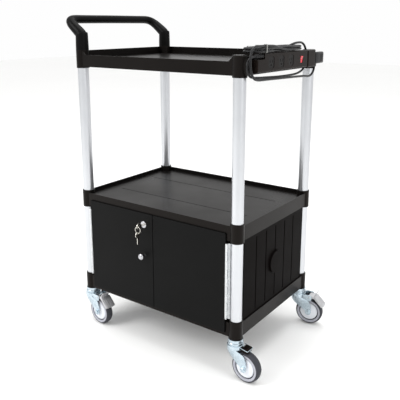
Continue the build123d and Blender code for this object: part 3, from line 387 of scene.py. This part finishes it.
cordRoute = leadOut + windingPoints() + leadBack
cordCurve = bpy.data.curves.new("supplyCord", "CURVE")
cordCurve.dimensions = "3D"
cordCurve.bevel_depth = winding["diameter"] / 2
cordCurve.bevel_resolution = 4
cordCurve.resolution_u = 6
cordCurve.use_fill_caps = True
cordSpline = cordCurve.splines.new("NURBS")
cordSpline.points.add(len(cordRoute) - 1)
for point, (x, y, z) in zip(cordSpline.points, cordRoute):
    point.co = (rightX + x, frontY + y, trayZ + z, 1)
cordSpline.order_u = 3
cordSpline.use_endpoint_u = True
cordCurve.materials.append(cordPvc)
supplyCord = bpy.data.objects.new("supplyCord", cordCurve)
scene.collection.objects.link(supplyCord)
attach(supplyCord, "cart")
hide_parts("cord_lead_out", "cord_lead_back", "cord_hank")

# Strain relief: a soft tapered sleeve with four collars, where the cord leaves the strip
reliefSize = {"length": 41.3, "tip": 4.6, "root": 6.6, "collars": 4, "pitch": 10.0, "lip": 1.5, "bore": 3.4}
reliefProfile = [(reliefSize["bore"], 0)]
for index in range(reliefSize["collars"]):
    start = 2.0 + index * reliefSize["pitch"]
    sleeve = reliefSize["tip"] + (reliefSize["root"] - reliefSize["tip"]) * start / reliefSize["length"]
    rim = sleeve + reliefSize["lip"]
    reliefProfile += [(sleeve - 0.6, start - 2.0), (sleeve, start + 1.6), (rim - 0.4, start + 2.0),
                      (rim, start + 2.6), (rim, start + 5.4), (rim - 0.4, start + 6.0), (sleeve, start + 6.4)]
reliefProfile += [(reliefSize["root"], reliefSize["length"]), (reliefSize["bore"], reliefSize["length"])]
reliefFoot = moved((rightX + 0.035) / mm, (frontY + 0.0221) / mm, (trayZ + 0.058) / mm)
strainRelief = finishPiece("strainRelief", spunShape(reliefProfile, 32, True), [cordPvc],
                           "cart", ["cord_relief"], reliefFoot @ turned("X", -90))

# Plug: a moulded body with finger ribs and a short cord neck below
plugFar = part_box("plug")[1].y
plugSize = {
    "width": 19, "length": 61, "height": 38, "corner": 5, "ribs": 4, "ribPitch": 5.5, "bladeGap": 12.6,
}
plugBody = bmesh.new()
addShape(plugBody, blockShape((plugSize["width"], plugSize["length"], plugSize["height"]), (0, 0, 0), 1.2,
                              plugSize["corner"], 1))
for index in range(plugSize["ribs"]):
    addShape(plugBody, blockShape((plugSize["width"] + 0.9, 2.2, plugSize["height"] - 12),
                                  (0, 4 + index * plugSize["ribPitch"], 0), 0.5))
addShape(plugBody, spunShape([(3.3, -10), (4.6, -10), (5.4, -4), (6.2, 0), (6.2, 4), (0, 4)], 24),
         moved(0, -plugSize["length"] / 2 + 12, -plugSize["height"] / 2 + 0.5))
for side in (-0.5, 0.5):
    blade = (0, -plugSize["length"] / 2 - 8, side * plugSize["bladeGap"])
    addShape(plugBody, blockShape((6.2, 18, 1.5), blade, 0.3), finish=1)
plugCentre = moved((rightX + 0.0355) / mm, plugFar / mm - plugSize["length"] / 2, (trayZ + 0.037) / mm)
plugPiece = finishPiece("plugBody", plugBody, [cordPvc, keyNickel], "cart",
                        ["plug"], plugCentre)

# Tie: a flat nylon strap round the hank, with its lock head on top
tieLow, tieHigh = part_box("cord_tie")
tieSize = {
    "wall": 1.2, "width": 4.8, "height": 18.5, "stepIn": 14, "stepRun": 4, "bend": 3, "head": (8, 7, 4.5),
}
tieHalf = (tieHigh.x - tieLow.x) / mm / 2
tieTop = (tieHigh.z - tieLow.z) / mm - 1
tieStep = tieHalf - tieSize["stepIn"]       # where the strap climbs over the lead on the outer edge
tieOutline = [
    (-tieHalf, 0), (tieHalf, 0), (tieHalf, tieTop), (tieStep + tieSize["stepRun"], tieTop),
    (tieStep, tieSize["height"]), (-tieHalf, tieSize["height"])]
tieStrap = bmesh.new()
tieVerts = [tieStrap.verts.new((x, -tieSize["width"] / 2, z)) for x, z in tieOutline]
tieEdges = [tieStrap.edges.new(pair) for pair in zip(tieVerts, tieVerts[1:] + tieVerts[:1])]
tieBand = bmesh.ops.extrude_edge_only(tieStrap, edges=tieEdges)
tieFar = [v for v in tieBand["geom"] if isinstance(v, bmesh.types.BMVert)]
bmesh.ops.translate(tieStrap, verts=tieFar, vec=(0, tieSize["width"], 0))
tieFolds = [e for e in tieStrap.edges if len(e.link_faces) == 2]
bmesh.ops.bevel(tieStrap, geom=tieFolds, offset=tieSize["bend"], segments=4, profile=0.5, affect="EDGES",
                material=-1)
bmesh.ops.recalc_face_normals(tieStrap, faces=tieStrap.faces)
bmesh.ops.solidify(tieStrap, geom=tieStrap.faces, thickness=tieSize["wall"])
bmesh.ops.recalc_face_normals(tieStrap, faces=tieStrap.faces)
tieShape = bmesh.new()
addShape(tieShape, tieStrap)
addShape(tieShape, blockShape(tieSize["head"], (0, 0, tieSize["height"] + 1.6), 0.8))
tieFoot = moved((tieLow.x + tieHigh.x) / 2 / mm, (tieLow.y + tieHigh.y) / 2 / mm, tieLow.z / mm)
tiePiece = finishPiece("cordTie", tieShape, [tieNylon], "cart", ["cord_tie"], tieFoot)
print("cord made")

# Push handle: one moulded bow, thick where its arms leave the sleeves and slimmer along the grip
handle = {
    "outreach": 70.0, "rise": 163.0, "foot": 61.0, "spigot": 36.0, "armStart": 108.0,
    "armRadius": 19.3, "gripRadius": 14.5,
}
handleArm = [        # out from the posts, along the grip, above the tray collars' foot, radius
    (0, 0, 96, handle["armRadius"]), (0, 0, handle["armStart"], handle["armRadius"]), (8, 0, 118, 19.0),
    (54, 0, 151, 16.0), (handle["outreach"], 20, handle["rise"], 14.8),
    (handle["outreach"], 76, handle["rise"], handle["gripRadius"])]
pitchY = (backY - frontY) / mm
bowPoints = [(-x, y, z, r) for x, y, z, r in handleArm]
bowPoints.append((-handle["outreach"], pitchY / 2, handle["rise"] + 0.5, handle["gripRadius"]))
bowPoints += [(-x, pitchY - y, z, r) for x, y, z, r in reversed(handleArm)]
bowCurve = bpy.data.curves.new("handleBow", "CURVE")
bowCurve.dimensions = "3D"
bowCurve.bevel_depth = 1.0
bowCurve.bevel_resolution = 10
bowCurve.resolution_u = 10
bowCurve.use_fill_caps = True
bowSpline = bowCurve.splines.new("NURBS")
bowSpline.points.add(len(bowPoints) - 1)
for point, (x, y, z, radius) in zip(bowSpline.points, bowPoints):
    point.co = (x, y, z, 1)
    point.radius = radius
bowSpline.order_u = 3
bowSpline.use_endpoint_u = True
bowObject = bpy.data.objects.new("handleBow", bowCurve)
bowMesh = bpy.data.meshes.new_from_object(bowObject)
handleShape = bmesh.new()
handleShape.from_mesh(bowMesh)
bmesh.ops.remove_doubles(handleShape, verts=handleShape.verts, dist=0.001)
bmesh.ops.recalc_face_normals(handleShape, faces=handleShape.faces)
bpy.data.objects.remove(bowObject)
bpy.data.meshes.remove(bowMesh)
bpy.data.curves.remove(bowCurve)
sleeveProfile = [
    (0, handle["spigot"]), (18.9, handle["spigot"]), (18.9, handle["foot"]), (21.9, handle["foot"]),
    (21.7, 78), (20.9, 112), (20.2, 117), (18.8, 119.4), (16, 120), (0, 120)]
for y in (0, pitchY):
    addShape(handleShape, spunShape(sleeveProfile, 48), moved(0, y, 0))
finishPiece("pushHandle", handleShape, [handlePlastic], "cart", ["push_handle"],
            moved(leftX / mm, frontY / mm, trayZ / mm))
print("handle made")

# Casters
caster = {
    "trail": 44.0, "radius": 50.0, "headRadius": 27.0, "headTop": 125.0, "headFoot": 103.5,
    "legOuter": 21.2, "legWall": 3.0, "legColumns": 14, "axle": 5.0, "pivotX": 46.0, "pivotZ": 109.5,
    "pedalSlope": 45.6,
}


def forkLeg():
    # A pressed leg: it leaves the round head as part of its wall and flattens as it tapers to the axle
    # rows are height, how flat the leg is there, and its half width once it rounds the axle
    rows = [(112, 0, None), (104, 0, None), (96, 0.10, None), (88, 0.32, None), (80, 0.60, None),
            (71, 0.86, None), (62, 1, None), (54, 1, 11.0), (48, 1, 10.8), (43, 1, 8.6), (40, 1, 5.6),
            (38.6, 1, 2.2)]
    shape = bmesh.new()
    chains = []
    for height, blend, half in rows:
        drop = (104 - max(height, 50)) / 54
        front = -25 + (caster["trail"] - 11 + 25) * drop
        rear = 52 + (caster["trail"] + 11 - 52) * drop
        if half is not None:
            front, rear = caster["trail"] - half, caster["trail"] + half
        chain = []
        for column in range(caster["legColumns"] + 1):
            share = column / caster["legColumns"]
            mix = blend ** (1.5 - 1.38 * share) if blend else 0
            angle = math.radians(164 - 112 * share)
            headX, headY = caster["headRadius"] * math.cos(angle), caster["headRadius"] * math.sin(angle)
            flatX = front + (rear - front) * share
            chain.append(shape.verts.new((headX * (1 - mix) + flatX * mix,
                                          headY * (1 - mix) + caster["legOuter"] * mix, height)))
        chains.append([shape.edges.new(pair) for pair in zip(chain, chain[1:])])
    for upper, lower in zip(chains, chains[1:]):
        bmesh.ops.bridge_loops(shape, edges=upper + lower)
    bmesh.ops.recalc_face_normals(shape, faces=shape.faces)
    aim = Vector((caster["trail"], 21, 55))
    middle = min(shape.faces, key=lambda face: (face.calc_center_median() - aim).length)
    if middle.normal.y < 0:
        bmesh.ops.reverse_faces(shape, faces=shape.faces)
    bmesh.ops.solidify(shape, geom=shape.faces, thickness=caster["legWall"])
    return shape


def forkShape(braked, paintedShadeBlock):
    fork = bmesh.new()
    head, top, foot = caster["headRadius"], caster["headTop"], caster["headFoot"]
    profile = [
        (6.3, foot), (head - 1.2, foot), (head, foot + 1.2), (head, foot + 11), (head - 0.5, foot + 12.2),
        (head - 2.2, foot + 13), (head - 2.2, top - 6), (head - 1.4, top - 5.2), (head - 1.4, top - 1),
        (head - 2.4, top), (6.3, top)]
    addShape(fork, spunShape(profile, 64, True))
    leg = forkLeg()
    other = leg.copy()
    addShape(fork, leg)
    bmesh.ops.scale(other, verts=other.verts, vec=(1, -1, 1))
    bmesh.ops.reverse_faces(other, faces=other.faces)
    addShape(fork, other)
    if braked:
        for side in (-1, 1):       # ears that carry the pedal's pin
            addShape(fork, blockShape((34, caster["legWall"], 22), (38, side * 19.7, 106.5), 0.8, 7, 1))
    if paintedShadeBlock:                    # a black block, drawn as a fender, is painted shade where the fork's rear falls dark; its bright wire, drawn as a clip, stands in for the highlight on the fork's edge
        addShape(fork, blockShape((25, 28, 15), (42, 0, 109.5), 1.4, 5, 1), finish=1)
        addShape(fork, blockShape((2.2, 31, 2.2), (55.6, 0, 112), 0.6))
        for side in (-1, 1):
            addShape(fork, blockShape((32, 2.2, 2.2), (0, 0, 0), 0.6),
                     moved(41, side * 15.4, 114) @ turned("Y", 8))
    return fork


def ringProfile(half):
    # the same outline on both faces of the wheel
    return [(r, -h) for r, h in half] + list(reversed(half))


def wheelCoreShape():
    # a pale dished disc, a dark groove round it and a grey rim that laps over the tyre's sides
    wheel = bmesh.new()
    disc = [(5.1, 17.4), (9.6, 17.4), (10.6, 16.6), (11.2, 14.4), (13.0, 13.4), (20.0, 13.2), (27.5, 12.6),
            (31.2, 11.4), (32.4, 9.8)]
    groove = [(32.0, 8.4), (36.4, 8.4)]
    rim = [(35.9, 8.8), (36.1, 12.8), (36.9, 13.7), (42.6, 13.9), (43.3, 13.4), (43.4, 12.2), (38.0, 11.6)]
    addShape(wheel, spunShape(ringProfile(disc), 72, True))
    addShape(wheel, spunShape(ringProfile(groove), 72, True), finish=2)
    addShape(wheel, spunShape(ringProfile(rim), 72, True), finish=1)
    return wheel


def tyreShape():
    half = [(38.0, 11.4), (43.2, 11.9), (43.8, 13.2), (45.2, 13.4), (46.4, 12.8), (47.8, 11.2), (49.0, 8.2),
            (49.7, 4.6), (49.95, 1.5)]
    return spunShape(ringProfile(half), 96, True)


def hexHead(radius, height):
    return spunShape([(0, 0), (radius, 0), (radius, height - 0.8), (radius - 0.9, height), (0, height)], 6)


def axleShape():
    axle = bmesh.new()
    outer = caster["legOuter"]
    addShape(axle, spunShape([(0, -outer - 4), (caster["axle"], -outer - 4), (caster["axle"], outer + 4),
                              (0, outer + 4)], 24))
    for side in (-1, 1):
        facing = turned("X", 0 if side > 0 else 180)
        addShape(axle, spunShape([(5.0, outer), (10.6, outer), (11.0, outer + 0.4), (11.0, outer + 1.2),
                                  (10.4, outer + 1.6), (5.0, outer + 1.6)], 32, True), facing)
        addShape(axle, hexHead(7.8, 4.6), facing @ moved(0, 0, outer + 1.4))
    return axle


def pedalShape():
    pedal = bmesh.new()
    pinX, pinZ = caster["pivotX"], caster["pivotZ"]
    plate = bmesh.new()
    addShape(plate, blockShape((47, 41, 2.4), (24, 0, 0), 0.7, 8, 2))
    for rib in (-13, -4.5, 4.5, 13):
        addShape(plate, blockShape((30, 2.4, 1.4), (27, rib, 1.5), 0.5, 1, 2))
    for side in (-1, 1):           # folded side flanges
        addShape(plate, blockShape((42, 1.6, 6), (24, side * 19.7, -2.6), 0.5))
    addShape(pedal, plate, moved(66, 0, pinZ + 3.6) @ turned("Y", caster["pedalSlope"]))
    tab = blockShape((2.2, 36, 21), (0, 0, 10), 0.7, 4, 0)
    addShape(pedal, tab, moved(62.5, 0, pinZ + 3) @ turned("Y", 32))
    addShape(pedal, blockShape((24, 33, 3.2), (pinX + 9, 0, pinZ + 3.6), 0.8))
    for side in (-1, 1):
        addShape(pedal, blockShape((26, 2, 9), (pinX + 8, side * 16.4, pinZ), 0.6, 4, 1))
    pin = spunShape([(0, -23), (2.4, -23), (3, -22.4), (3, 22.4), (2.4, 23), (0, 23)], 24)
    addShape(pedal, pin, moved(pinX, 0, pinZ) @ turned("X", 90))
    return pedal


cornerJoints = {j["name"]: j for j in frame["joints"]}
for corner in ("front_left", "front_right", "back_right", "back_left"):
    pivotX, pivotY = cornerJoints[corner + "_swivel_turn"]["pos_m"][:2]
    tyreLow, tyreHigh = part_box(corner + "_tyre")
    wheelCentre = (tyreLow + tyreHigh) / 2
    yaw = math.atan2(wheelCentre.y - pivotY, wheelCentre.x - pivotX)
    stand = moved(pivotX / mm, pivotY / mm, 0) @ Matrix.Rotation(yaw, 4, "Z")
    hub = stand @ moved(caster["trail"], 0, caster["radius"]) @ turned("X", 90)
    braked = corner + "_brake_pedal" in nodes
    words = corner.split("_")
    label = words[0] + words[1].capitalize()
    # the front-right fork carries the black block of painted shade and the bright wire of painted highlight behind
    # it
    finishPiece(label + "Fork", forkShape(braked, corner == "front_right"), [casterZinc, stripPlastic],
                corner + "_swivel", [corner + "_fork"], stand, 30)
    finishPiece(label + "Axle", axleShape(), [casterZinc], corner + "_swivel",
                [corner + "_axle"], hub)
    finishPiece(label + "WheelCore", wheelCoreShape(), [corePlastic, rimPlastic, tyreRubber],
                corner + "_rolling", [corner + "_wheel"], hub)
    finishPiece(label + "Tyre", tyreShape(), [tyreRubber], corner + "_rolling",
                [corner + "_tyre"], hub)
    if braked:
        finishPiece(label + "Pedal", pedalShape(), [pedalZinc], corner + "_brake",
                    [corner + "_brake_pedal"], stand)
print("casters made")

# Floor and light
studio = {
    "floorSize": 14.0, "floorColour": "#FCFCFB", "floorShade": "#F9F9F8",
    "skyColour": "#FEFEFE", "skyStrength": 1.0,
    "lamps": [        # name, place, aim, width, height, power
        ("keyPanel", (-2.2, -3.4, 3.4), (0, 0, 0.6), 2.4, 2.4, 120),
        ("sidePanel", (3.6, -0.6, 2.2), (0.1, 0, 0.6), 1.6, 2.6, 25),
        ("topPanel", (0.2, 0.6, 4.2), (0, 0, 0.5), 3.0, 3.0, 90),
    ],
}
floorShape = bmesh.new()
bmesh.ops.create_grid(floorShape, x_segments=2, y_segments=2, size=studio["floorSize"])
floorMesh = bpy.data.meshes.new("studioFloor")
floorShape.to_mesh(floorMesh)
floorShape.free()
floor = bpy.data.objects.new("studioFloor", floorMesh)
scene.collection.objects.link(floor)
# Floor: a matt painted sheet, near white, so the cart's shadow is all that shows on it
floorPaint, floorTree, floorShader, floorPlace = startMaterial("paleStudioSheet", {"Roughness": 0.7})
floorNoise = addNode(floorTree, "ShaderNodeTexNoise", {"Scale": 0.6, "Detail": 2.0}, {"Vector": floorPlace})
floorTint = addNode(floorTree, "ShaderNodeMix", {"data_type": "RGBA"}, {"Factor": floorNoise.outputs["Fac"]})
floorTint.inputs[6].default_value = linearColour(studio["floorShade"])
floorTint.inputs[7].default_value = linearColour(studio["floorColour"])
floorTree.links.new(floorTint.outputs[2], floorShader.inputs["Base Color"])
floorMesh.materials.append(floorPaint)

world = bpy.data.worlds.new("studioWorld")
world.use_nodes = True
sky = world.node_tree.nodes["Background"]
sky.inputs["Color"].default_value = linearColour(studio["skyColour"])
sky.inputs["Strength"].default_value = studio["skyStrength"]
scene.world = world
scene.view_settings.view_transform = "Standard"
for name, place, aim, width, height, power in studio["lamps"]:
    lamp = bpy.data.lights.new(name, "AREA")
    lamp.shape = "RECTANGLE"
    lamp.size, lamp.size_y, lamp.energy = width, height, power
    holder = bpy.data.objects.new(name, lamp)
    holder.location = place
    holder.rotation_euler = (Vector(aim) - Vector(place)).to_track_quat("-Z", "Y").to_euler()
    scene.collection.objects.link(holder)
print("studio made")
